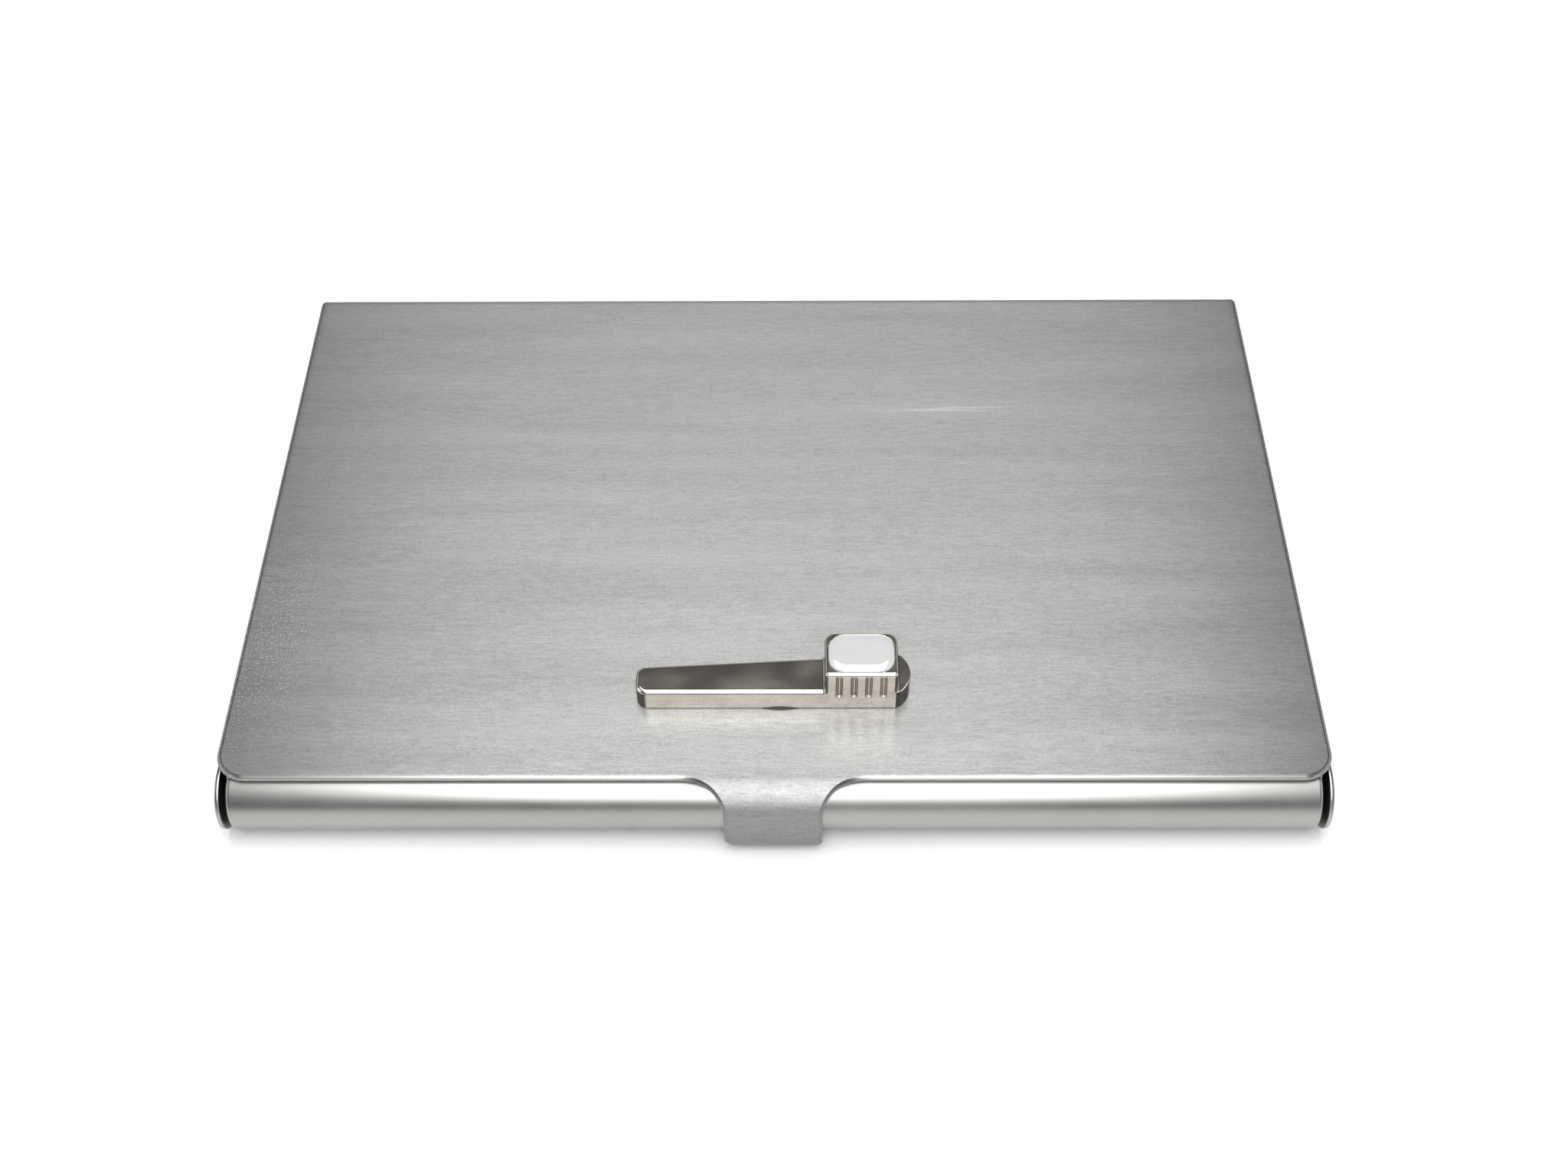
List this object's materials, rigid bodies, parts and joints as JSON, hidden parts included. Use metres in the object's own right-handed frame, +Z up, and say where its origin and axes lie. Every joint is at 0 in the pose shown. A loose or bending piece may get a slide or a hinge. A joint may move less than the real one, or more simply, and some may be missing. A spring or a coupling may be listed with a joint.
{
  "type": "business card case",
  "caption": "Flat hinged sheet-steel business card case with a rolled front edge, a tongue on its brushed lid and a small cast toothbrush ornament.",
  "frame": {"origin": "centre of the underside of the closed case's outline, on the surface it stands on", "axes": "+X to the right along the long side, +Y from the front roll to the hinge, +Z up out of the lid"},
  "size_m": [0.0948, 0.062, 0.0119],
  "materials": {
    "satin_steel": "satin",
    "brushed_lid": "brushed from side to side",
    "spring_steel": "rolled",
    "rivet_steel": "satin",
    "plated_metal": "polished",
    "white_enamel": "glossy",
    "adhesive": "matte"
  },
  "bodies": {
    "base": {"base_tray": "satin_steel", "snap_spring": "spring_steel", "spring_rivets": "rivet_steel", "hinge_rivet_left": "rivet_steel", "hinge_rivet_right": "rivet_steel"},
    "lid": {"lid_panel": "brushed_lid", "adhesive_pad": "adhesive", "brush_casting": "plated_metal", "bristle_enamel": "white_enamel"}
  },
  "joints": [
    {"name": "lid_hinge", "type": "hinge", "parent": "base", "child": "lid", "pos_m": [0, 0.0288, 0.0046], "axis": [-1, 0, 0], "range_deg": [0, 110]}
  ]
}
